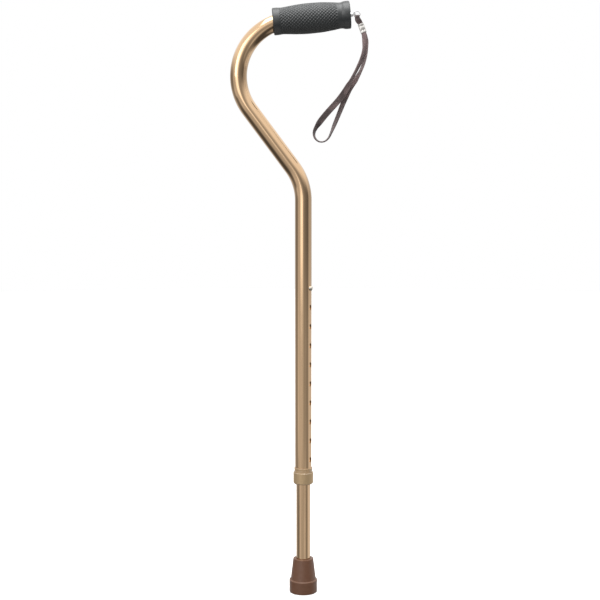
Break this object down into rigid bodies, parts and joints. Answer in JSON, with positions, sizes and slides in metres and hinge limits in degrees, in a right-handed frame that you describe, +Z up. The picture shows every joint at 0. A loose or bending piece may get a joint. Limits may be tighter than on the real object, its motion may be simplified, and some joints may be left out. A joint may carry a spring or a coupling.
{
  "type": "walking cane",
  "caption": "Single point walking cane with an offset bent handle, soft grip, wrist strap, snap-button height adjustment, locking collar and rubber tip.",
  "frame": {"origin": "centre of the rubber tip's underside, on the shaft's axis", "axes": "+Z up the shaft, +X the way the hand grip points, +Y completes a right-handed frame; the whole cane lies about the XZ plane"},
  "size_m": [0.1804, 0.039, 0.7833],
  "materials": {
    "bronze_tube": "bright bronze anodised, drawn along its length",
    "collar_bronze": "satin bronze anodised, turned",
    "bush_plastic": "bronze coloured nylon, slightly glossy",
    "grip_rubber": "black moulded rubber with a diamond cross-hatch",
    "black_plastic": "moulded, matt",
    "bright_chrome": "polished plate",
    "plain_steel": "zinc plated",
    "crimp_metal": "nickel plated, pressed",
    "strap_webbing": "flat braided webbing, brown-grey",
    "button_steel": "polished steel",
    "spring_steel": "tempered strip",
    "tip_rubber": "brown moulded rubber, satin"
  },
  "bodies": {
    "handle": {"handle_tube": "bronze_tube", "hand_grip": "grip_rubber", "handle_end_plug": "black_plastic", "strap_pin": "bright_chrome", "pin_nut": "plain_steel", "collet_bush": "bush_plastic"},
    "collar": {"locking_collar": "collar_bronze"},
    "shaft": {"lower_tube": "bronze_tube", "button_spring": "spring_steel", "rubber_tip": "tip_rubber", "tip_washer": "plain_steel"},
    "button": {"snap_button": "button_steel"},
    "ring": {"strap_ring": "bright_chrome"},
    "strap": {"strap_end_loop": "strap_webbing", "strap_crimp": "crimp_metal", "wrist_strap": "strap_webbing"}
  },
  "joints": [
    {"name": "height_adjust", "type": "slide", "parent": "handle", "child": "shaft", "axis": [0, 0, -1], "range_m": [0, 0.2286], "deforming": ["button_spring", "snap_button"]},
    {"name": "button_press", "type": "slide", "parent": "shaft", "child": "button", "axis": [-0.8572, 0.515, 0], "range_m": [0, 0.0043], "stiffness_N_per_m": 2000, "springref_m": -0.003},
    {"name": "collar_turn", "type": "hinge", "parent": "handle", "child": "collar", "pos_m": [0, 0, 0.155], "axis": [0, 0, 1], "range_deg": [0, 180]},
    {"name": "ring_swing", "type": "hinge", "parent": "handle", "child": "ring", "pos_m": [0.06604, 0, 0.76619], "axis": [-0.0872, 0, 0.9962], "range_deg": [-20, 20]},
    {"name": "strap_swing", "type": "hinge", "parent": "ring", "child": "strap", "pos_m": [0.07142, 0, 0.7628], "axis": [0.9367, 0, 0.3502], "range_deg": [-50, 50]}
  ]
}
